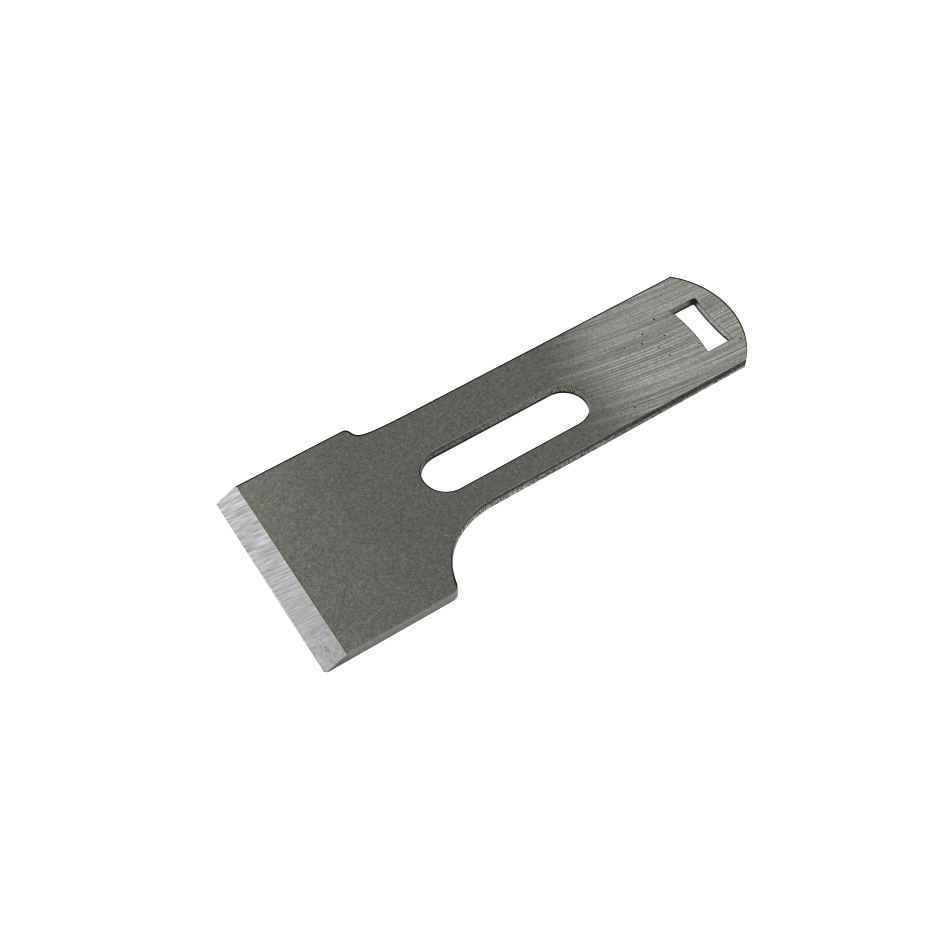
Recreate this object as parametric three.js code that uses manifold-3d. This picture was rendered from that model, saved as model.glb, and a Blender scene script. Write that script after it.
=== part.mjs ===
// A plane iron: the flat steel blade of a small hand plane, with a wide cutting head and a
// narrower neck set off to one side of it. The neck holds a long slot for the clamping screw
// and, near the tail, a waisted hole for the depth adjuster.
//
// Millimetres and degrees. The flat back lies on z = 0 and the bevel faces up. The cutting edge
// is at the -X end and the tail at the +X end; the neck is nearer the head's +Y side.
// The origin is the bottom centre of the blade's box.

import * as THREE from "three";
import { mergeVertices } from "three/addons/utils/BufferGeometryUtils.js";
import Module from "manifold-3d";

// Driving dimensions. Lengths along the blade are from the cutting edge unless they say otherwise.

const BLADE = {
  length: 97.5, // cutting edge to the tip of the tail
  thickness: 2.15,
};

const HEAD = {
  width: 38, // the cutting edge runs the whole width, square to the sides
  bevelAngle: 27, // between the bevel and the flat back
};

const NECK = {
  width: 23.15,
  step: 3.08, // from the head's +Y side in to the neck's +Y side
};

// A shoulder rounds the head's corner, runs down a flank and curves into the neck.
const NARROW_SHOULDER = {
  corner: 25.65, // where the head's side and the flank would meet
  slope: 72, // between the flank and the length of the blade
  ease: 0.9, // length that the rounding takes from the side and from the flank
  run: 14.3, // along the blade, from the corner to where the curve joins the neck
  flankHold: 0.87, // how far the curve keeps to the flank, from 0 to 1
  neckHold: 1, // how far it keeps to the neck
};
const WIDE_SHOULDER = {
  corner: 25.1,
  slope: 75.8,
  ease: 1.47,
  run: 14.3,
  flankHold: 0.65,
  neckHold: 0.64,
};

// Sideways offsets are from the neck's middle line, positive towards +Y.
const TAIL = {
  radius: 16.4, // of the rounded end
  offset: 0.28,
};

const SLOT = {
  start: 31.3, // cutting edge to the slot's near end
  length: 32.95, // end to end
  width: 8.95,
  offset: -2.18,
};

const ADJUSTER_HOLE = {
  fromTail: 3.85, // tip of the tail to the hole's far side, at its ends
  length: 5.65, // along the blade, at its ends
  width: 11.5, // across the blade
  offset: -0.61,
  nearBulge: 0.52, // how far the side towards the slot swells into the hole
  farBulge: 0.35, // and the side towards the tail
  cornerEase: 0.35, // length that each corner's rounding takes from its sides
};

const STEEL = { color: 0x6b6c66, roughness: 0.45, metalness: 1 };

const CURVE_STEPS = 20; // straight pieces in each curve of the outline

// The pieces below are drawn with x counted from the cutting edge and y from the head's middle.

const headSide = HEAD.width / 2;
const neckTop = headSide - NECK.step;
const neckBottom = neckTop - NECK.width;
const neckMiddle = (neckTop + neckBottom) / 2;

const towards = (from, to, share) => from.clone().lerp(to, share);

// The points that a shoulder's two curves run through and by, on the head's side `side`.
function shoulderPoints(shoulder, side, neckEdge) {
  const slope = THREE.MathUtils.degToRad(shoulder.slope);
  const corner = new THREE.Vector2(shoulder.corner, side * headSide);
  const flank = new THREE.Vector2(Math.cos(slope), -side * Math.sin(slope));
  const drop = Math.abs(corner.y - neckEdge);
  const crossing = corner.clone().addScaledVector(flank, drop / Math.sin(slope));
  const onSide = corner.clone().setX(corner.x - shoulder.ease);
  const onFlank = corner.clone().addScaledVector(flank, shoulder.ease);
  const onNeck = new THREE.Vector2(corner.x + shoulder.run, neckEdge);
  return {
    onSide,
    corner,
    onFlank,
    flankHandle: towards(onFlank, crossing, shoulder.flankHold),
    neckHandle: towards(onNeck, crossing, shoulder.neckHold),
    onNeck,
  };
}

function addTail(outline) {
  const middle = neckMiddle + TAIL.offset;
  const lowAngle = Math.asin((neckBottom - middle) / TAIL.radius);
  const highAngle = Math.asin((neckTop - middle) / TAIL.radius);
  outline.absarc(BLADE.length - TAIL.radius, middle, TAIL.radius, lowAngle, highAngle, false);
}

function bladeOutline() {
  const narrow = shoulderPoints(NARROW_SHOULDER, 1, neckTop);
  const wide = shoulderPoints(WIDE_SHOULDER, -1, neckBottom);
  const outline = new THREE.Shape();
  outline.moveTo(0, -headSide);
  outline.lineTo(wide.onSide.x, wide.onSide.y);
  outline.quadraticCurveTo(wide.corner.x, wide.corner.y, wide.onFlank.x, wide.onFlank.y);
  outline.bezierCurveTo(...wide.flankHandle, ...wide.neckHandle, ...wide.onNeck);
  addTail(outline);
  outline.lineTo(narrow.onNeck.x, narrow.onNeck.y);
  outline.bezierCurveTo(...narrow.neckHandle, ...narrow.flankHandle, ...narrow.onFlank);
  outline.quadraticCurveTo(narrow.corner.x, narrow.corner.y, narrow.onSide.x, narrow.onSide.y);
  outline.lineTo(0, headSide);
  outline.closePath();
  return outline;
}

function slotOutline() {
  const radius = SLOT.width / 2;
  const middle = neckMiddle + SLOT.offset;
  const slot = new THREE.Path();
  slot.absarc(SLOT.start + radius, middle, radius, Math.PI / 2, (3 * Math.PI) / 2, false);
  slot.absarc(SLOT.start + SLOT.length - radius, middle, radius, -Math.PI / 2, Math.PI / 2, false);
  slot.closePath();
  return slot;
}

// The hole's two long sides swell inwards, so that it is narrowest at its waist.
function adjusterOutline() {
  const far = BLADE.length - ADJUSTER_HOLE.fromTail;
  const near = far - ADJUSTER_HOLE.length;
  const middle = neckMiddle + ADJUSTER_HOLE.offset;
  const low = middle - ADJUSTER_HOLE.width / 2;
  const high = middle + ADJUSTER_HOLE.width / 2;
  const ease = ADJUSTER_HOLE.cornerEase;
  const waistFar = far - 2 * ADJUSTER_HOLE.farBulge;
  const waistNear = near + 2 * ADJUSTER_HOLE.nearBulge;
  const hole = new THREE.Path();
  hole.moveTo(near + ease, low);
  hole.lineTo(far - ease, low);
  hole.quadraticCurveTo(far, low, far, low + ease);
  hole.quadraticCurveTo(waistFar, middle, far, high - ease);
  hole.quadraticCurveTo(far, high, far - ease, high);
  hole.lineTo(near + ease, high);
  hole.quadraticCurveTo(near, high, near, high - ease);
  hole.quadraticCurveTo(waistNear, middle, near, low + ease);
  hole.quadraticCurveTo(near, low, near + ease, low);
  return hole;
}

// The wedge that the bevel takes off the head: its slanted side runs up from the cutting edge.
function bevelCutter() {
  const overshoot = 1;
  const slope = Math.tan(THREE.MathUtils.degToRad(HEAD.bevelAngle));
  const top = BLADE.thickness + overshoot;
  const profile = new THREE.Shape();
  profile.moveTo(-overshoot, -overshoot * slope);
  profile.lineTo(top / slope, top);
  profile.lineTo(-overshoot, top);
  profile.closePath();
  const depth = HEAD.width + 2 * overshoot;
  const cutter = new THREE.ExtrudeGeometry(profile, { depth, bevelEnabled: false });
  cutter.rotateX(Math.PI / 2);
  cutter.translate(0, depth / 2, 0);
  return cutter;
}

// Booleans.

const wasm = await Module();
wasm.setup();

function toSolid(geometry) {
  const bare = geometry.clone();
  bare.deleteAttribute("normal");
  bare.deleteAttribute("uv");
  const merged = mergeVertices(bare);
  return new wasm.Manifold(
    new wasm.Mesh({
      numProp: 3,
      vertProperties: new Float32Array(merged.attributes.position.array),
      triVerts: new Uint32Array(merged.index.array),
    }),
  );
}

function toGeometry(solid) {
  const mesh = solid.getMesh();
  const geometry = new THREE.BufferGeometry();
  geometry.setAttribute("position", new THREE.BufferAttribute(mesh.vertProperties, 3));
  geometry.setIndex(new THREE.BufferAttribute(mesh.triVerts, 1));
  const flat = geometry.toNonIndexed();
  flat.computeVertexNormals();
  return flat;
}

function planeIron() {
  const outline = bladeOutline();
  outline.holes.push(slotOutline(), adjusterOutline());
  const plate = new THREE.ExtrudeGeometry(outline, {
    depth: BLADE.thickness,
    curveSegments: CURVE_STEPS,
    bevelEnabled: false,
  });
  const ground = toSolid(plate).subtract(toSolid(bevelCutter()));
  const mesh = new THREE.Mesh(toGeometry(ground), new THREE.MeshStandardMaterial(STEEL));
  mesh.name = "plane_iron";
  mesh.position.x = -BLADE.length / 2;
  return mesh;
}

const part = new THREE.Group();
part.add(planeIron());

export default part;
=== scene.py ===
"""A plane iron lying bevel up on a plain white floor in soft studio light.

The blade's outlines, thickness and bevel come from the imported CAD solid. This script gives it what
punching, tumbling, grinding and honing leave: rolled edges, walls that are smooth above and torn
below, a ground bevel with a honed strip, a worn corner, small pits, and their surface finishes.
Lengths are in millimetres until the mesh is finished; Blender's own units are metres.
"""
import functools
import math

import bmesh
import bpy
from mathutils import Matrix, Vector, noise
from mathutils.geometry import delaunay_2d_cdt


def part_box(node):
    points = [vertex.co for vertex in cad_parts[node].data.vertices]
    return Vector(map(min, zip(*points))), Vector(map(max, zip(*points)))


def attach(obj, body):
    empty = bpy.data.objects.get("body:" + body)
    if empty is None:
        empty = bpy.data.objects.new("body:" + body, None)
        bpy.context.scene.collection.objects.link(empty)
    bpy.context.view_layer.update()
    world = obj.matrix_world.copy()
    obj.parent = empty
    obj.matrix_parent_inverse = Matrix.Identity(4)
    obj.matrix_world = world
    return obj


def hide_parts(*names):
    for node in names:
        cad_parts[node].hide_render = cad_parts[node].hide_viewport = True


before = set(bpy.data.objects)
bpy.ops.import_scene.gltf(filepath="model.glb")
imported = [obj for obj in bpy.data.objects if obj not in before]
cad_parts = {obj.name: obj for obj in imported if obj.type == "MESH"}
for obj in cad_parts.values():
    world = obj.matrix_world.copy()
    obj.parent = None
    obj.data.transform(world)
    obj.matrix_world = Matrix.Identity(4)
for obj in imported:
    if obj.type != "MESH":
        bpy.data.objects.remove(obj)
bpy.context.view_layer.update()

MM = 0.001
CLOSE = 0.001  # lengths that differ by less than this are the same
ON_CUT = 1e-5  # points as near as this to a cut or to a filled outline are on it
DOWN = -0.99  # a face whose normal has less Z than this looks straight down

# The blade's box and the line where its bevel meets its face, in millimetres.

NODE = "plane_iron"
LOW, HIGH = (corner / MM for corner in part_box(NODE))
EDGE_X = LOW.x
THICKNESS = HIGH.z
CAD_POINTS = [vert.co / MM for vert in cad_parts[NODE].data.vertices]
BEVEL_TOP_X = min(point.x for point in CAD_POINTS if point.z > THICKNESS - CLOSE)
HEAD_SIDE = HIGH.y

# How the edges and walls are finished.

SPACING = 0.25  # between the mesh's columns round the outline
RING = 0.08  # flat strip inside each rolled edge, which keeps the faces' shading flat
SHARP = math.radians(32)  # edges that bend more than this are shaded as corners
CORNER_TURN = math.radians(20)  # a sharper turn than this is a real corner
CORNER_REACH = 0.6  # no columns within this of a sharp corner
STRAIGHT = 0.01  # radians: an outline that bends less than this at each point is straight
CURVE_REACH = 3  # points to each side that count for how tightly an outline bends
LEAST_ROLL = 0.05  # where a tight curve leaves no room for a wider one
INSET_SHARE = 0.7  # of the distance at which an inset of a curve would cross itself
HEAD_END = (-24.6, -22.8)  # the ground head fades into the punched neck between these
EDGE_LAND = 0.02  # thickness of the cutting edge itself
CORNER_CLIP = 0.5  # worn off the cutting edge's -Y end
HONED_WIDTH = 0.5  # of the strip along the cutting edge, at its widest
HONED_MIDDLE = -3.0  # where along the edge it is widest
HONED_REACH = 13.0  # how far it runs to each side of that
HONED_SLOPE = math.radians(8)  # steeper than the bevel
HONED_LEAST = 0.15  # of its widest, at its ends
HONED_CUTS = (0.12, 0.25, 0.38, HONED_WIDTH)  # edges laid along it, this far from the edge
BEVEL_COLUMNS = 6  # of the grid of edges on the bevel
BEVEL_ROW = 0.5  # between its rows
BEVEL_ROW_SHIFT = 0.07  # keeps the rows off the outline's own points
CORNER_MARGIN = 0.6  # this much at each end of the edge isn't honed
NICK_SCALE = 1.7  # of the noise that makes nicks in the edge
NICK_START = 0.3  # where it is above this
NICK_DEPTH = 0.3

# Wall sections: the top edge's roll, then a smooth band, then a torn one with an uneven surface.
# smooth is a share of the thickness, the others are lengths.

HEAD_WALL = {"roll": 0.28, "roll_depth": 0.07, "smooth": 0.50, "torn": 0.004}
NECK_WALL = {"roll": 0.30, "roll_depth": 0.07, "smooth": 0.30, "torn": 0.012}
SLOT_WALL = {"roll": 0.30, "roll_depth": 0.12, "smooth": 0.28, "torn": 0.008}
HOLE_SOFT_WALL = {"roll": 0.65, "roll_depth": 0.50, "smooth": 0.45, "torn": 0.020}
HOLE_CRISP_WALL = {"roll": 0.22, "roll_depth": 0.12, "smooth": 0.45, "torn": 0.020}
AWAY = Vector((0.75, 0.66))  # walls that face this way are more worn at their top edge, and their rolled edges get painted shade
AWAY_ROLL = 0.14  # and that much wider in their roll
AWAY_SPAN = (0.1, 0.6)  # as they turn to it between these
CRISP_SPAN = (-0.2, 0.2)  # and the hole's wall turns from soft to crisp between these
TAIL_SMOOTH = 0.38  # how much taller the smooth band gets towards the tail, between these
TAIL_SMOOTH_SPAN = (6.0, 33.0)
TEAR_WAVE = 0.12  # the line between smooth and torn goes up and down by this
TEAR_WAVE_SCALE = 0.9
TORN_SCALE = 2.2
TORN_FRACTAL = (0.7, 2.1, 4)  # fractal dimension, lacunarity and octaves
TORN_SHIFT = 0.5  # brings that noise to about 0 to 1

ROLL_STEPS = 5  # rows of faces down each part of a wall
SMOOTH_STEPS = 2
TORN_STEPS = 5

# Small pits in the face around the adjuster hole: x, y and radius.
PITS = (
    (35.6, 9.3, 0.21),
    (31.8, 7.6, 0.19),
    (34.9, 5.2, 0.21),
    (30.4, 5.9, 0.19),
    (27.3, 6.8, 0.15),
    (32.5, 3.5, 0.15),
    (33.0, 1.0, 0.17),
    (38.9, 0.3, 0.17),
    (21.2, -4.8, 0.19),
    (27.7, 1.2, 0.12),
    (34.6, 3.8, 0.11),
    (25.0, 5.5, 0.11),
    (45.8, -2.9, 0.22),
    (47.5, 3.7, 0.13),
)
PIT_DEPTH = 0.13  # of a pit with a radius of PIT_RADIUS, and others in proportion
PIT_RADIUS = 0.2
# A pit's rim, the ring inside it and its middle: share of radius, share of depth, points.
PIT_RINGS = ((1.0, 0.0, 10), (0.62, 0.75, 10), (0.0, 1.0, 1))
PIT_WOBBLE = 0.22  # share of its radius
PIT_WIDEST = 0.5  # corners further apart than this aren't all in one pit


def smoothstep(value, start, end):
    share = min(max((value - start) / (end - start), 0.0), 1.0)
    return share * share * (3 - 2 * share)


def blend(first, second, share):
    return {key: first[key] * (1 - share) + second[key] * share for key in first}


# ---------------------------------------------------------------- outlines


def signed_area(loop):
    pairs = zip(loop, loop[1:] + loop[:1])
    return sum(a.x * b.y - b.x * a.y for a, b in pairs) / 2


def outlines():
    """The CAD solid's outlines on its back, the blade's own first, with material on the left."""
    bm = bmesh.new()
    bm.from_mesh(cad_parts[NODE].data)
    bmesh.ops.remove_doubles(bm, verts=bm.verts, dist=CLOSE * MM)
    bm.normal_update()
    down = {face for face in bm.faces if face.normal.z < DOWN}
    rim = [edge for edge in bm.edges if sum(face in down for face in edge.link_faces) == 1]
    beside = {}
    for edge in rim:
        for vert in edge.verts:
            beside.setdefault(vert, []).append(edge.other_vert(vert))
    loops = []
    while beside:
        start = min(beside, key=lambda vert: vert.index)
        loop, vert = [], start
        while vert is not None:
            loop.append(Vector(vert.co.xy) / MM)
            vert = next((other for other in beside.pop(vert) if other in beside), None)
        loops.append(loop)
    bm.free()
    loops.sort(key=lambda loop: -abs(signed_area(loop)))
    for number, loop in enumerate(loops):
        if (signed_area(loop) > 0) != (number == 0):
            loop.reverse()
    return loops


def turn(loop, i):
    """The outline's turn at a point: positive where the material sticks out."""
    before = loop[i] - loop[i - 1]
    after = loop[(i + 1) % len(loop)] - loop[i]
    return math.atan2(before.x * after.y - before.y * after.x, before.dot(after))


def room(loop, i):
    """How far inwards a point can go before the inset outline crosses itself."""
    reach = range(-CURVE_REACH, CURVE_REACH + 1)
    bends = [turn(loop, (i + k) % len(loop)) for k in reach]
    bend = max([b for b in bends if 0 < b < CORNER_TURN], default=0.0)
    step = (loop[i] - loop[i - 1]).length
    return INSET_SHARE * step / max(bend, STRAIGHT)


def resample(loop, spacing):
    """Even points round a loop, with its sharp corners kept."""
    corners = [i for i in range(len(loop)) if abs(turn(loop, i)) > CORNER_TURN] or [0]
    points = []
    for first, last in zip(corners, corners[1:] + [corners[0] + len(loop)]):
        stretch = [loop[i % len(loop)] for i in range(first, last + 1)]
        along = [0.0]
        for a, b in zip(stretch, stretch[1:]):
            along.append(along[-1] + (b - a).length)
        steps = max(1, round(along[-1] / spacing))
        piece = 0
        for step in range(steps):
            wanted = along[-1] * step / steps
            while along[piece + 1] < wanted:
                piece += 1
            share = (wanted - along[piece]) / (along[piece + 1] - along[piece])
            points.append(stretch[piece].lerp(stretch[piece + 1], share))
    return points


def clear_corners(loop):
    """Drops points so near a sharp convex corner that their columns would cross the corner's."""
    sharp = [turn(loop, i) > CORNER_TURN for i in range(len(loop))]
    corners = [point for point, is_sharp in zip(loop, sharp) if is_sharp]
    return [
        point
        for point, is_sharp in zip(loop, sharp)
        if is_sharp or all((point - corner).length > CORNER_REACH for corner in corners)
    ]


def clip_corner(loop, corner, size):
    """Replaces one sharp corner of the loop by a short slanted edge."""
    i = min(range(len(loop)), key=lambda k: (loop[k] - corner).length)
    before = (loop[i - 1] - loop[i]).normalized()
    after = (loop[(i + 1) % len(loop)] - loop[i]).normalized()
    loop[i : i + 1] = [loop[i] + before * size, loop[i] + after * size]


def outward(loop, i):
    """Out of the material, up to twice as long at a corner so that an inset keeps its width."""
    before = (loop[i] - loop[i - 1]).normalized()
    after = (loop[(i + 1) % len(loop)] - loop[i]).normalized()
    middle = (before + after).normalized()
    return Vector((middle.y, -middle.x)) / max(middle.dot(after), 0.5)


# ---------------------------------------------------------------- walls


def outer_wall(point, out):
    """The wall section at a point of the blade's own outline, where the wall faces out."""
    wall = blend(HEAD_WALL, NECK_WALL, smoothstep(point.x, *HEAD_END))
    wall["roll"] += AWAY_ROLL * smoothstep(out.dot(AWAY), *AWAY_SPAN)
    wall["smooth"] += TAIL_SMOOTH * smoothstep(point.x, *TAIL_SMOOTH_SPAN)
    return wall


def slot_wall(point, out):
    return SLOT_WALL


def hole_wall(point, out):
    return blend(HOLE_SOFT_WALL, HOLE_CRISP_WALL, smoothstep(out.dot(AWAY), *CRISP_SPAN))


def wall_rows(wall, point, space):
    """(inset, height) down one column of the wall, from the face to the back."""
    roll, depth = min(wall["roll"], max(space - RING, LEAST_ROLL)), wall["roll_depth"]
    rows = [(roll + RING, THICKNESS)]
    for step in range(ROLL_STEPS + 1):
        angle = math.pi / 2 * step / ROLL_STEPS
        rows.append((roll * (1 - math.sin(angle)), THICKNESS - depth * (1 - math.cos(angle))))
    start = THICKNESS - depth
    wave = noise.noise(Vector((point.x * TEAR_WAVE_SCALE, point.y * TEAR_WAVE_SCALE, 3.0)))
    tear = THICKNESS * (1 - wall["smooth"]) + TEAR_WAVE * wave
    for step in range(1, SMOOTH_STEPS + 1):
        rows.append((0.0, start + (tear - start) * step / SMOOTH_STEPS))
    for step in range(1, TORN_STEPS + 1):
        share = step / TORN_STEPS
        height = tear * (1 - share)
        rough = noise.fractal(Vector((point.x, point.y, height)) * TORN_SCALE, *TORN_FRACTAL)
        inset = wall["torn"] * (TORN_SHIFT + rough) * math.sqrt(share)
        rows.append((max(inset, 0.0), height))
    rows.append((rows[-1][0] + RING, 0.0))
    return rows


def add_walls(bm, loop, wall_at, material):
    """Columns of the wall round one loop. Returns its top row and its bottom row."""
    columns = []
    for i, point in enumerate(loop):
        out = outward(loop, i)
        column = [
            bm.verts.new((*(point - out * inset), height))
            for inset, height in wall_rows(wall_at(point, out), point, room(loop, i))
        ]
        columns.append(column)
    for here, there in zip(columns, columns[1:] + columns[:1]):
        for row in range(len(here) - 1):
            face = bm.faces.new((here[row], here[row + 1], there[row + 1], there[row]))
            on_roll = row < ROLL_STEPS or row == len(here) - 2
            face.material_index = FACE if on_roll else material
    return [column[0] for column in columns], [column[-1] for column in columns]


# ---------------------------------------------------------------- faces


def pit_points():
    """Extra points of the face: for each pit its rim, a ring inside it and its middle."""
    points = []
    for x, y, radius in PITS:
        for share, drop, count in PIT_RINGS:
            height = THICKNESS - PIT_DEPTH * drop * radius / PIT_RADIUS
            for k in range(count):
                angle = 2 * math.pi * k / count + x
                rim = Vector((x + math.cos(angle), y + math.sin(angle), 7))
                reach = radius * share * (1 + PIT_WOBBLE * noise.noise(rim))
                place = (x + reach * math.cos(angle), y + reach * math.sin(angle), height)
                points.append(Vector(place))
    return points


def add_face(bm, rims, extra, faces_up):
    """Fills between the rims with triangles that also pass through the extra points."""
    verts = [vert for rim in rims for vert in rim]
    rings, start = [], 0
    for rim in rims:
        rings.append(list(range(start, start + len(rim))))
        start += len(rim)
    for ring in rings[1:]:
        ring.reverse()
    verts += [bm.verts.new(point) for point in extra]
    flat = [Vector(vert.co.xy) for vert in verts]
    _, _, triangles, came_from, _, inside = delaunay_2d_cdt(flat, [], rings, 1, ON_CUT)
    for triangle, faces in zip(triangles, inside):
        if list(faces) != [0]:
            continue  # in an opening
        corners = [verts[came_from[i][0]] for i in triangle]
        in_pit = all(came_from[i][0] >= start for i in triangle)
        face = bm.faces.new(corners if faces_up else reversed(corners))
        face.material_index = PIT if in_pit and small(corners) else FACE


def small(corners):
    """Whether these corners all belong to one pit."""
    return max((a.co - b.co).length for a in corners for b in corners) < PIT_WIDEST


# ---------------------------------------------------------------- bevel


def cut_bevel(bm):
    """Grinds the head down to the cutting edge and lays a grid of edges on the new face."""
    foot = Vector((EDGE_X, 0, EDGE_LAND))
    top = Vector((BEVEL_TOP_X, 0, THICKNESS))
    along = top - foot
    normal = Vector((-along.z, 0, along.x)).normalized()
    geometry = bm.verts[:] + bm.edges[:] + bm.faces[:]
    bmesh.ops.bisect_plane(
        bm, geom=geometry, dist=ON_CUT, plane_co=top, plane_no=normal, clear_outer=True
    )
    rim = [edge for edge in bm.edges if len(edge.link_faces) == 1]
    bevel = bmesh.ops.contextual_create(bm, geom=rim)["faces"]
    for face in bevel:
        face.material_index = BEVEL
        face.normal_update()
        if face.normal.dot(normal) < 0:
            face.normal_flip()
    across, sideways = Vector((1, 0, 0)), Vector((0, 1, 0))
    length = BEVEL_TOP_X - EDGE_X
    columns = [*HONED_CUTS, *(length * k / BEVEL_COLUMNS for k in range(1, BEVEL_COLUMNS))]
    cuts = [(Vector((EDGE_X + x, 0, 0)), across) for x in columns]
    rows = round(2 * HEAD_SIDE / BEVEL_ROW)
    for k in range(1, rows):
        y = -HEAD_SIDE + 2 * HEAD_SIDE * k / rows + BEVEL_ROW_SHIFT
        cuts.append((Vector((0, y, 0)), sideways))
    for place, direction in cuts:
        faces = [face for face in bm.faces if face.material_index == BEVEL]
        edges = {edge for face in faces for edge in face.edges}
        points = {vert for face in faces for vert in face.verts}
        geometry = [*faces, *edges, *points]
        bmesh.ops.bisect_plane(bm, geom=geometry, dist=ON_CUT, plane_co=place, plane_no=direction)


def hone(bm):
    """Steepens the strip along the cutting edge and leaves small nicks in the edge."""
    steeper = math.tan(HONED_SLOPE)
    for vert in bm.verts:
        behind = vert.co.x - EDGE_X
        on_bevel = any(face.material_index == BEVEL for face in vert.link_faces)
        if not on_bevel or abs(vert.co.y) > HEAD_SIDE - CORNER_MARGIN:
            continue
        across = (vert.co.y - HONED_MIDDLE) / HONED_REACH
        width = HONED_WIDTH * max(HONED_LEAST, 1 - across * across)
        if CLOSE < behind < width:
            vert.co.z += steeper * min(behind, width - behind)
        if behind < CLOSE:
            nick = noise.noise(Vector((0, vert.co.y * NICK_SCALE, 5)))
            vert.co.x += max(0.0, nick - NICK_START) * NICK_DEPTH


# ---------------------------------------------------------------- the mesh

FACE, WALL, OPENING, GROUND, BEVEL, PIT = range(6)


def shade(bm):
    """Smooth shading, but with sharp edges at real corners and all round the bevel and the pits."""
    for face in bm.faces:
        face.smooth = True
    bm.normal_update()
    for edge in bm.edges:
        kinds = {face.material_index for face in edge.link_faces}
        own_rim = len(kinds) > 1 and bool(kinds & {BEVEL, PIT})
        edge.smooth = not own_rim and edge.calc_face_angle(0.0) < SHARP


def blade_mesh():
    """The whole blade: walls, faces and bevel in one closed mesh."""
    loops = outlines()
    clip_corner(loops[0], Vector((EDGE_X, -HEAD_SIDE)), CORNER_CLIP)
    sections = ((outer_wall, WALL), (slot_wall, OPENING), (hole_wall, OPENING))
    bm = bmesh.new()
    tops, bottoms = [], []
    for loop, (section, material) in zip(loops, sections):
        spacing = SPACING / 2 if section is hole_wall else SPACING
        top, bottom = add_walls(bm, clear_corners(resample(loop, spacing)), section, material)
        tops.append(top)
        bottoms.append(bottom)
    for face in bm.faces:
        on_head = face.calc_center_median().x < sum(HEAD_END) / 2
        if on_head and face.material_index == WALL:
            face.material_index = GROUND
    add_face(bm, tops, pit_points(), True)
    add_face(bm, bottoms, [], False)
    bmesh.ops.recalc_face_normals(bm, faces=bm.faces)
    cut_bevel(bm)
    hone(bm)
    shade(bm)
    bm.transform(Matrix.Scale(MM, 4))
    mesh = bpy.data.meshes.new("blade")
    bm.to_mesh(mesh)
    bm.free()
    return mesh


# ---------------------------------------------------------------- materials

NOISE_SPAN = (0.3, 0.7)  # nearly all of a noise's values are between these
TEAR_SPAN = (0.36, 0.64)  # and of the torn walls' noise between these


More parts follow.
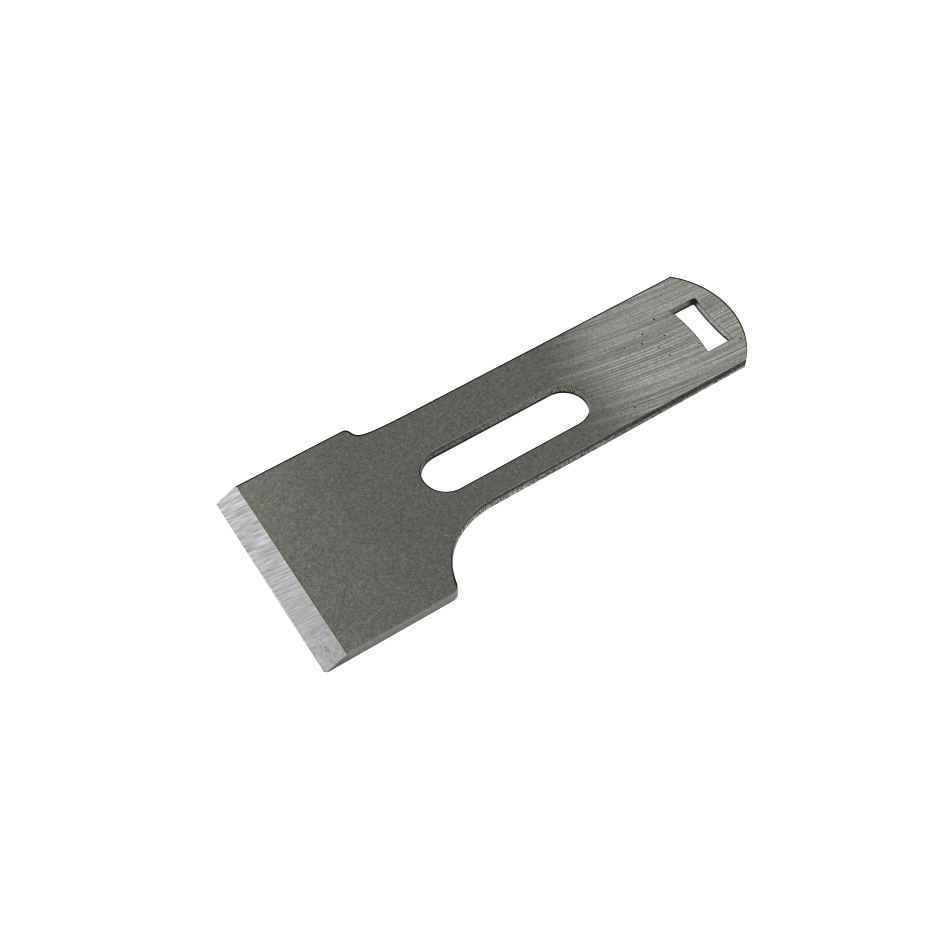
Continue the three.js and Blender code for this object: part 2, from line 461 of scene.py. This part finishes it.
class Shader:
    """Builds one metal's nodes. Each method adds a node and returns its output socket."""

    def __init__(self, name, roughness):
        self.material = bpy.data.materials.new(name)
        self.material.use_nodes = True
        self.tree = self.material.node_tree
        self.principled = self.tree.nodes["Principled BSDF"]
        self.principled.inputs["Metallic"].default_value = 1.0
        self.principled.inputs["Roughness"].default_value = roughness
        coordinates = self.node("ShaderNodeTexCoord").outputs
        self.normal = coordinates["Normal"]
        self.place = self.vector("SCALE", coordinates["Object"], scale=1 / MM)  # in millimetres
        self.x, self.y, self.z = self.split(self.place)

    def node(self, kind, **inputs):
        node = self.tree.nodes.new(kind)
        for name, value in inputs.items():
            self.feed(node.inputs[name], value)
        return node

    def feed(self, socket, value):
        if isinstance(value, bpy.types.NodeSocket):
            self.tree.links.new(value, socket)
        else:
            socket.default_value = value

    def vector(self, operation, first, second=None, scale=None):
        node = self.tree.nodes.new("ShaderNodeVectorMath")
        node.operation = operation
        self.feed(node.inputs[0], first)
        if second is not None:
            self.feed(node.inputs[1], second)
        if scale is not None:
            self.feed(node.inputs["Scale"], scale)
        return node.outputs["Value" if operation in ("LENGTH", "DOT_PRODUCT") else "Vector"]

    def math(self, operation, first, second=0.0):
        node = self.tree.nodes.new("ShaderNodeMath")
        node.operation = operation
        self.feed(node.inputs[0], first)
        self.feed(node.inputs[1], second)
        return node.outputs[0]

    def times(self, *factors):
        return functools.reduce(functools.partial(self.math, "MULTIPLY"), factors)

    def plus(self, *terms):
        return functools.reduce(functools.partial(self.math, "ADD"), terms)

    def minus(self, first, second):
        return self.math("SUBTRACT", first, second)

    def combine(self, x, y, z=0.0):
        return self.node("ShaderNodeCombineXYZ", X=x, Y=y, Z=z).outputs[0]

    def split(self, vector):
        return self.node("ShaderNodeSeparateXYZ", Vector=vector).outputs

    def from_point(self, x, y):
        """The place in the plane of the face, seen from a point in it."""
        return self.vector("SUBTRACT", self.combine(self.x, self.y), (x, y, 0.0))

    def turned(self, degrees):
        """How far the place is along a direction in the plane of the face, and across it."""
        angle = math.radians(degrees)
        cos, sin = math.cos(angle), math.sin(angle)
        along = self.vector("DOT_PRODUCT", self.place, (cos, sin, 0.0))
        return along, self.vector("DOT_PRODUCT", self.place, (-sin, cos, 0.0))

    def noise(self, place, scale=1.0, detail=2.0, roughness=0.5):
        inputs = {"Vector": place, "Scale": scale, "Detail": detail, "Roughness": roughness}
        return self.node("ShaderNodeTexNoise", **inputs).outputs["Fac"]

    def span(self, value, start, end, low=0.0, high=1.0, kind="SMOOTHSTEP"):
        """Carries start..end onto low..high, and holds it there beyond."""
        node = self.tree.nodes.new("ShaderNodeMapRange")
        node.interpolation_type = kind
        for socket, given in zip(node.inputs, (value, start, end, low, high)):
            self.feed(socket, given)
        return node.outputs[0]

    def ramp(self, value, start, end, low, high):
        """The same in a straight line."""
        return self.span(value, start, end, low, high, "LINEAR")

    def vary(self, noise, low, high):
        """Carries a noise's usual values onto low..high."""
        return self.ramp(noise, *NOISE_SPAN, low, high)

    def pick(self, zone, outside, inside):
        """One number where a zone is 0 and another where it is 1."""
        return self.span(zone, 0.0, 1.0, outside, inside)

    def zone(self, west, east, south, north):
        """1 in a rectangle. Each of its sides fades in over a span from outside to inside."""
        lengthwise = self.times(self.span(self.x, *west), self.span(self.x, *east))
        widthwise = self.times(self.span(self.y, *south), self.span(self.y, *north))
        return self.times(lengthwise, widthwise)

    def mix(self, share, first, second):
        """A colour between two colours."""
        node = self.tree.nodes.new("ShaderNodeMix")
        node.data_type = "RGBA"
        # Its colours are inputs 6 and 7. Sockets of other types have the same names.
        for socket, value in zip(node.inputs[6:8], (first, second)):
            self.feed(socket, (*value, 1.0) if isinstance(value, tuple) else value)
        self.feed(node.inputs["Factor"], share)
        return node.outputs[2]

    def tint(self, base, amount):
        """A colour times a number."""
        return self.vector("SCALE", base, scale=amount)

    def cells(self, place, scale):
        """Small cells: an even random value in each, and the distance from its middle."""
        outputs = self.node("ShaderNodeTexVoronoi", Vector=place, Scale=scale).outputs
        red = self.node("ShaderNodeSeparateColor", Color=outputs["Color"]).outputs[0]
        return red, outputs["Distance"]

    def specks(self, place, scale, radius, share):
        """Soft dots in a share of such cells: 1 at their middles."""
        value, distance = self.cells(place, scale)
        dots = self.span(distance, radius, radius * 0.3)
        return self.times(dots, self.math("LESS_THAN", value, share))

    def finish(self, base, height=None, depth=0.0, roughness=None):
        """Connects the colour, the height for a bump of this depth, and the roughness."""
        self.feed(self.principled.inputs["Base Color"], base)
        if height is not None:
            bump = self.node("ShaderNodeBump", Height=height, Strength=1.0, Distance=depth * MM)
            self.feed(self.principled.inputs["Normal"], bump.outputs[0])
        if roughness is not None:
            self.feed(self.principled.inputs["Roughness"], roughness)
        return self.material


MATT = (0.174, 0.176, 0.154)
WARM = (0.186, 0.182, 0.150)
BRUSHED = (0.400, 0.400, 0.360)
BRIGHT = (0.500, 0.500, 0.510)
# a painted highlight along the bevel's top edge
ARRIS_HIGHLIGHT = (0.560, 0.535, 0.470)
HONED = (0.640, 0.640, 0.640)
SMOOTH_BAND = (0.029, 0.029, 0.026)
SMOOTH_BAND_EDGE_TINT = (0.7, 0.7, 0.7, 1)  # burnt steel shines less at a grazing angle
TORN_BAND = (0.185, 0.184, 0.168)
SLOT_BAND = (0.034, 0.034, 0.030)
SLOT_BAND_END = (0.100, 0.100, 0.090)
HOLE_BAND = (0.270, 0.270, 0.245)
# the hole's walls that face -Y: the same steel with painted shade
HOLE_SHADED_SIDE = (0.110, 0.110, 0.100)
GROUND_SIDE = (0.145, 0.144, 0.132)
PIT_FLOOR = (0.060, 0.058, 0.050)

# Rectangles round two parts of the openings, by how each side fades in: -X, +X, -Y and +Y.
HOLE_ZONE = ((37.8, 38.4), (46.6, 46.0), (-3.4, -2.8), (10.8, 10.2))
SLOT_END_ZONE = ((-19.0, -18.4), (-12.0, -13.6), (-3.4, -2.8), (7.6, 7.0))
HOLE_WALLS = (36.0, 38.0)  # an opening's wall is the slot's before this span, the hole's after it
SHADED_HOLE_CORNER = (44.9, 9.5)  # the corner of the adjuster hole that gets painted shade

GRIND_CENTRE = (53.0, 170.0)  # of the arcs that the tail's grinding runs along
GRIND_RADIUS = 165.0  # from there to the middle of the tail
TAIL_START = (12.0, 27.0)  # the matt face gives way to the ground tail between these
BEVEL_SLANT = -21  # degrees from the blade's length to the bevel's grinding lines
LONG_SCRATCH = ((-39.7, -15.9), (-35.1, -14.8))
LONG_SCRATCH_WIDTH = 0.10


def painted_edge_light(s):
    """Rolled edges: painted shade facing +X and +Y, painted highlights elsewhere."""
    away = s.vector("DOT_PRODUCT", s.normal, (*AWAY, 0.0))
    hole = s.zone(*HOLE_ZONE)
    slot_end = s.zone(*SLOT_END_ZONE)
    # Painted shade on edges facing +X and +Y: nearly black, lighter in the hole and at the slot's
    # end.
    dirt_and_shade = s.plus(s.pick(hole, 0.04, 0.45), s.pick(slot_end, 0.0, 0.12))
    far_edge_shade = s.span(away, 0.005, 0.06, 1.0, dirt_and_shade)
    # A painted highlight on edges facing the other way, strongest on the head and neck; none in the
    # hole.
    highlight_strength = s.plus(s.span(s.x, 10.0, 18.0, 1.50, 0.85), s.span(s.x, 24.0, 30.0, 0.0, 0.30))
    near_edge_highlight = s.span(away, -0.01, -0.12, 1.0, s.pick(hole, highlight_strength, 0.95))
    # Those edges also turn darker towards the tail, but not in the hole.
    darkening = s.plus(s.span(s.x, 12.0, 18.0, 1.0, 0.42), s.span(s.x, 34.0, 40.0, 0.0, 0.35))
    darkened = s.span(away, -0.05, -0.25, 1.0, s.pick(hole, darkening, 1.0))
    return s.times(far_edge_shade, near_edge_highlight, darkened)


def scratch(s, start, end, width):
    """A straight fine scratch between two points: 1 on it."""
    reach = s.from_point(*start)
    along = (Vector((*end, 0.0)) - Vector((*start, 0.0))).normalized()
    length = math.dist(start, end)
    far = s.vector("DOT_PRODUCT", reach, tuple(along))
    off = s.math("ABSOLUTE", s.vector("DOT_PRODUCT", reach, (along.y, -along.x, 0.0)))
    ends = s.times(s.span(far, 0.0, 0.4), s.span(far, length, length - 1.5))
    return s.times(s.span(off, width, width * 0.3), ends)


def dashes(s, degrees, share, seed):
    """Short fine scratches, all at one angle."""
    along, across = s.turned(degrees)
    grid = s.combine(s.times(along, 0.4), s.times(across, 3.0), seed)
    return s.specks(grid, scale=0.8, radius=0.30, share=share)


def tumbled(s, grain):
    """The matt colour of the head and the neck."""
    blotch = s.noise(s.place, scale=1.3)
    drift = s.noise(s.place, scale=0.07)
    tone = s.times(s.vary(grain, 0.68, 1.32), s.vary(blotch, 0.92, 1.08), s.vary(drift, 0.96, 1.04))
    # Painted sheen: lighter towards the cutting edge, the more so towards +Y.
    front = s.span(s.x, EDGE_X + 4, EDGE_X + 24, 1.0, 0.0)
    gain = s.span(s.y, 0.0, 17.0, 0.20, 0.36)
    bevel_shade = s.span(s.x, BEVEL_TOP_X, BEVEL_TOP_X + 0.4, 0.78, 1.0)
    tone = s.times(tone, s.plus(1.0, s.times(front, gain)), bevel_shade)
    light = s.plus(
        s.specks(s.place, scale=1.1, radius=0.20, share=0.25),
        dashes(s, 20, share=0.06, seed=0.0),
        dashes(s, -50, share=0.05, seed=5.0),
        scratch(s, *LONG_SCRATCH, LONG_SCRATCH_WIDTH),
    )
    tone = s.plus(tone, s.times(light, 0.65))
    near_bevel = s.span(s.x, BEVEL_TOP_X, BEVEL_TOP_X + 5.0, 1.0, 0.0)
    near_bevel = s.times(near_bevel, s.span(s.y, -5.0, 15.0, 0.4, 1.0))
    warm = s.times(near_bevel, s.span(blotch, 0.42, 0.6, 0.2, 1.0))
    return s.tint(s.mix(warm, MATT, WARM), tone)


def face_material():
    """The flat faces: tumbled matt on the head and neck, coarsely ground towards the tail."""
    s = Shader("tumbled_and_ground_steel", 0.5)
    grain = s.noise(s.place, scale=3.0, roughness=0.6)

    # Distance from the grinding's centre picks the line, the way round it the place on the line.
    reach = s.from_point(*GRIND_CENTRE)
    across = s.vector("LENGTH", reach)
    x, y, _ = s.split(reach)
    along = s.times(s.math("ARCTAN2", x, s.times(y, -1.0)), GRIND_RADIUS)

    def lines(per_mm, length, seed, detail=0.0):
        grid = s.combine(s.times(across, per_mm), s.math("DIVIDE", along, length), seed)
        return s.noise(grid, detail=detail, roughness=0.55)

    fine = lines(per_mm=3.0, length=34.0, seed=0.0, detail=1.0)
    finer = lines(per_mm=5.0, length=16.0, seed=2.0)
    long = lines(per_mm=2.4, length=40.0, seed=9.0)
    broad = lines(per_mm=0.8, length=30.0, seed=4.0, detail=1.0)
    grit, _ = s.cells(s.place, scale=5.5)
    dirt_and_shade = s.specks(s.place, scale=1.0, radius=0.22, share=0.22)
    streak = s.times(
        s.vary(fine, 0.72, 1.28),
        s.vary(finer, 0.80, 1.20),
        s.vary(broad, 0.96, 1.04),
        s.span(long, 0.30, 0.40, 0.74, 1.0),
        s.span(long, 0.60, 0.68, 1.0, 1.15),
        s.vary(grain, 0.82, 1.18),
        s.ramp(grit, 0.0, 1.0, 0.80, 1.20),
        s.minus(1.0, s.times(dirt_and_shade, 0.4)),
    )
    ground = s.tint(BRUSHED, streak)

    wander = s.plus(s.vary(broad, -2.2, 2.2), s.vary(fine, -1.0, 1.0))
    start = s.plus(s.x, wander, s.span(s.y, 6.0, 16.0, 0.0, -2.5))
    tail = s.span(start, *TAIL_START)
    # The rolled edges get painted shade and painted highlights.
    base = s.tint(s.mix(tail, tumbled(s, grain), ground), painted_edge_light(s))
    height = s.plus(s.times(fine, tail), s.times(grain, 0.5))
    return s.finish(base, height, 0.012, s.ramp(tail, 0.0, 1.0, 0.52, 0.42))


def torn_noise(s):
    """The grain of a punched wall, drawn out downwards."""
    tall = s.combine(s.x, s.y, s.times(s.z, 0.35))
    return s.noise(tall, scale=4.2, roughness=0.7)


def torn_share(s, rough):
    """0 on a wall's smooth band, 1 on its torn one. The smooth band is taller at the tail."""
    taller = s.span(s.x, *TAIL_SMOOTH_SPAN, 0.0, TAIL_SMOOTH * THICKNESS)
    level = s.plus(s.z, s.vary(rough, -0.22, 0.22), taller)
    return s.span(level, THICKNESS * 0.76, THICKNESS * 0.62)


def wall_roughness(s, torn):
    return s.ramp(torn, 0.0, 1.0, 0.4, 0.65)


def wall_material():
    """The blade's punched outer walls: burnished and dark above, torn and lighter below."""
    s = Shader("punched_steel", 0.5)
    s.principled.inputs["Specular Tint"].default_value = SMOOTH_BAND_EDGE_TINT
    rough = torn_noise(s)
    torn = torn_share(s, rough)
    smooth = s.tint(SMOOTH_BAND, s.ramp(rough, *TEAR_SPAN, 0.1, 2.2))
    foot = s.span(s.z, THICKNESS * 0.42, THICKNESS * 0.28)
    ends = s.math("MAXIMUM", s.span(s.x, 1.0, -4.0), s.span(s.x, 26.0, 36.0))
    speckle = s.times(s.ramp(rough, *TEAR_SPAN, 0.12, 2.08), s.pick(s.times(foot, ends), 1.0, 1.6))
    base = s.mix(torn, smooth, s.tint(TORN_BAND, speckle))
    # Painted shadow: a little darker at the foot.
    base = s.tint(base, s.span(s.z, 0.44, 0.60, 0.88, 1.0))
    return s.finish(base, rough, 0.03, wall_roughness(s, torn))


def opening_material():
    """The walls of the slot and the adjuster hole, which are black with painted shadow at their
    foot.
    """
    s = Shader("punched_opening_steel", 0.5)
    rough = torn_noise(s)
    torn = torn_share(s, rough)
    band = s.mix(s.span(s.x, -10.0, 6.0), SLOT_BAND, SLOT_BAND_END)
    smooth = s.tint(band, s.ramp(rough, *TEAR_SPAN, 0.1, 2.2))
    speckle = s.times(s.ramp(rough, *TEAR_SPAN, 0.08, 1.56), s.span(s.x, -6.0, -1.0, 0.76, 1.0))
    slot = s.mix(torn, smooth, s.tint(TORN_BAND, speckle))

    widthwise = s.split(s.normal)["Y"]
    # The hole's walls that face -Y are a darker copy of the same steel: painted shade.
    steel = s.mix(s.span(widthwise, -0.3, -0.8), HOLE_BAND, HOLE_SHADED_SIDE)
    # Painted shade, darkest in the hole's +X, +Y corner.
    to_corner = s.vector("LENGTH", s.from_point(*SHADED_HOLE_CORNER))
    corner_shade = s.span(to_corner, 0.3, 1.8, 0.15, 1.0)
    hole = s.tint(steel, s.times(corner_shade, s.ramp(rough, *TEAR_SPAN, 0.5, 1.5)))

    base = s.mix(s.span(s.x, *HOLE_WALLS), slot, hole)
    # Painted shadow: nearly black at the foot of the walls.
    height = s.minus(s.z, s.span(s.x, -14.0, 0.0, 0.05, 0.0))
    base = s.tint(base, s.span(height, 0.44, 0.60, 0.03, 1.0))
    return s.finish(base, rough, 0.03, wall_roughness(s, torn))


def side_material():
    """The head's sides, ground flat."""
    s = Shader("ground_side_steel", 0.45)
    grain = s.noise(s.place, scale=2.6, roughness=0.65)
    stretched = s.combine(s.times(s.x, 0.4), s.y, s.times(s.z, 2.5))
    lines = s.noise(stretched, detail=3.0, roughness=0.6)
    tone = s.times(
        s.vary(lines, 0.85, 1.15),
        s.vary(grain, 0.70, 1.30),
        s.span(s.x, EDGE_X + 2.5, EDGE_X + 5.5, 0.60, 1.0),
        # Painted shadow at the foot and a painted highlight below the top edge.
        s.span(s.z, 0.1, 0.4, 0.75, 1.0),
        s.span(s.z, 1.2, 1.9, 1.0, 1.30),
    )
    return s.finish(s.tint(GROUND_SIDE, tone), lines, 0.01)


def bevel_material():
    """The bevel: bright, with grinding lines across it at a slant, and a honed strip."""
    s = Shader("ground_bevel_steel", 0.34)
    along, across = s.turned(BEVEL_SLANT)
    fine = s.noise(s.combine(s.times(along, 0.30), s.times(across, 3.4)), roughness=0.6)
    broad = s.noise(s.combine(s.times(along, 0.2), s.times(across, 0.7), 5.0))
    mottle = s.noise(s.place, scale=1.6, roughness=0.6)
    keen = s.span(s.y, -15.0, 10.0, 0.35, 1.0)  # the lines are stronger towards +Y
    blot = s.span(s.y, -10.0, -14.0, 0.12, 0.40)  # and the mottling towards -Y
    behind = s.minus(s.x, EDGE_X)
    tone = s.times(
        s.plus(
            s.times(s.vary(fine, -0.42, 0.42), keen),
            s.vary(broad, -0.08, 0.08),
            s.times(s.vary(mottle, -0.5, 0.5), blot),
            1.0,
        ),
        s.ramp(behind, 0.5, 4.0, 1.05, 0.96),
        # Painted sheen: lighter towards +Y.
        s.ramp(s.y, -HEAD_SIDE, HEAD_SIDE, 0.96, 1.09),
    )

    # The honed strip: 0 at the cutting edge, 1 where the strip ends, with a dark line there.
    off_middle = s.math("ABSOLUTE", s.minus(s.y, HONED_MIDDLE))
    width = s.times(s.span(off_middle, 0.0, HONED_REACH, 1.0, 0.5), HONED_WIDTH)
    strip = s.math("DIVIDE", behind, width)
    burr = s.times(s.span(strip, 0.45, 0.7), s.span(strip, 1.1, 0.85))
    tone = s.times(tone, s.minus(1.0, s.times(0.25, burr)))
    steel = s.mix(s.span(strip, 0.65, 0.5), BRIGHT, HONED)
    # A painted highlight along the bevel's top edge.
    steel = s.mix(s.span(s.x, BEVEL_TOP_X - 0.3, BEVEL_TOP_X - 0.1), steel, ARRIS_HIGHLIGHT)

    pits = s.specks(s.place, scale=0.9, radius=0.3, share=0.25)
    pits = s.times(pits, s.span(s.y, -11.0, -14.0))
    base = s.tint(s.tint(steel, tone), s.minus(1.0, s.times(pits, 0.35)))
    return s.finish(base, s.minus(s.times(fine, keen), pits), 0.02)


def pit_material():
    """The small pits, dark and dull."""
    s = Shader("pit_steel", 0.8)
    grain = s.noise(s.place, scale=6.0)
    return s.finish(s.tint(PIT_FLOOR, s.vary(grain, 0.7, 1.3)))


# ---------------------------------------------------------------- the piece

MATERIALS = (  # in the order of the mesh's FACE, WALL, OPENING, GROUND, BEVEL and PIT
    face_material,
    wall_material,
    opening_material,
    side_material,
    bevel_material,
    pit_material,
)

blade = bpy.data.objects.new("blade", blade_mesh())
bpy.context.scene.collection.objects.link(blade)
for make in MATERIALS:
    blade.data.materials.append(make())
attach(blade, "root")
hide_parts(NODE)


# ---------------------------------------------------------------- floor, light and camera

FLOOR_HALF = 2.0  # metres
FLOOR_GAP = 0.00002  # metres, under the blade, so that the two surfaces don't fight
FLOOR_WHITE = (0.93, 0.93, 0.93, 1)
FLOOR_GLOW = 0.65  # a light table, which leaves hardly any shadow
WHITE = (1, 1, 1, 1)
WORLD_STRENGTH = 0.7
PIXEL_FILTER = 1.0  # narrower than Blender's own, for a crisper picture

CAMERA_AIM = Vector((-9.27, -0.86, 1.08))
CAMERA_DISTANCE = 250.6
CAMERA_AZIMUTH = -29.92  # 0 looks along +Y
CAMERA_ELEVATION = 56.04
CAMERA_ROLL = -3.0
CAMERA_LENS = 55.93
CAMERA_CLIP = 0.005  # metres


def toward(azimuth, elevation):
    """The direction from the blade to something at these angles, in degrees."""
    a, e = math.radians(azimuth), math.radians(elevation)
    return Vector((math.sin(a) * math.cos(e), -math.cos(a) * math.cos(e), math.sin(e)))


def add_floor():
    mesh = bpy.data.meshes.new("floor")
    corners = [(x * FLOOR_HALF, y * FLOOR_HALF, 0) for x, y in ((-1, -1), (1, -1), (1, 1), (-1, 1))]
    mesh.from_pydata(corners, [], [(0, 1, 2, 3)])
    floor = bpy.data.objects.new("floor", mesh)
    floor.location.z = LOW.z * MM - FLOOR_GAP
    bpy.context.scene.collection.objects.link(floor)
    material = bpy.data.materials.new("white_floor")
    material.use_nodes = True
    inputs = material.node_tree.nodes["Principled BSDF"].inputs
    inputs["Base Color"].default_value = FLOOR_WHITE
    inputs["Roughness"].default_value = 0.9
    inputs["Specular IOR Level"].default_value = 0.0
    inputs["Emission Color"].default_value = WHITE
    inputs["Emission Strength"].default_value = FLOOR_GLOW
    mesh.materials.append(material)


def add_softbox(name, azimuth, elevation, distance, size, power):
    """A square area light that faces the blade. Its distance and size are in metres."""
    light = bpy.data.lights.new(name, "AREA")
    light.shape = "SQUARE"
    light.size = size
    light.energy = power
    lamp = bpy.data.objects.new(name, light)
    direction = toward(azimuth, elevation)
    lamp.location = direction * distance
    lamp.rotation_euler = direction.to_track_quat("Z", "Y").to_euler()
    bpy.context.scene.collection.objects.link(lamp)


def add_world():
    world = bpy.data.worlds.new("studio")
    world.use_nodes = True
    background = world.node_tree.nodes["Background"]
    background.inputs["Color"].default_value = WHITE
    background.inputs["Strength"].default_value = WORLD_STRENGTH
    bpy.context.scene.world = world


def add_camera():
    camera = bpy.data.objects.new("camera", bpy.data.cameras.new("camera"))
    back = toward(CAMERA_AZIMUTH, CAMERA_ELEVATION)
    camera.location = (CAMERA_AIM + back * CAMERA_DISTANCE) * MM
    level = back.to_track_quat("Z", "Y").to_matrix()
    rolled = level @ Matrix.Rotation(math.radians(CAMERA_ROLL), 3, "Z")
    camera.rotation_euler = rolled.to_euler()
    camera.data.lens = CAMERA_LENS
    camera.data.clip_start = CAMERA_CLIP
    bpy.context.scene.collection.objects.link(camera)
    bpy.context.scene.camera = camera


add_floor()
add_world()
add_softbox("key", azimuth=-150, elevation=42, distance=0.9, size=0.6, power=0.55)
add_camera()
bpy.context.scene.view_settings.view_transform = "Standard"
bpy.context.scene.cycles.filter_width = PIXEL_FILTER
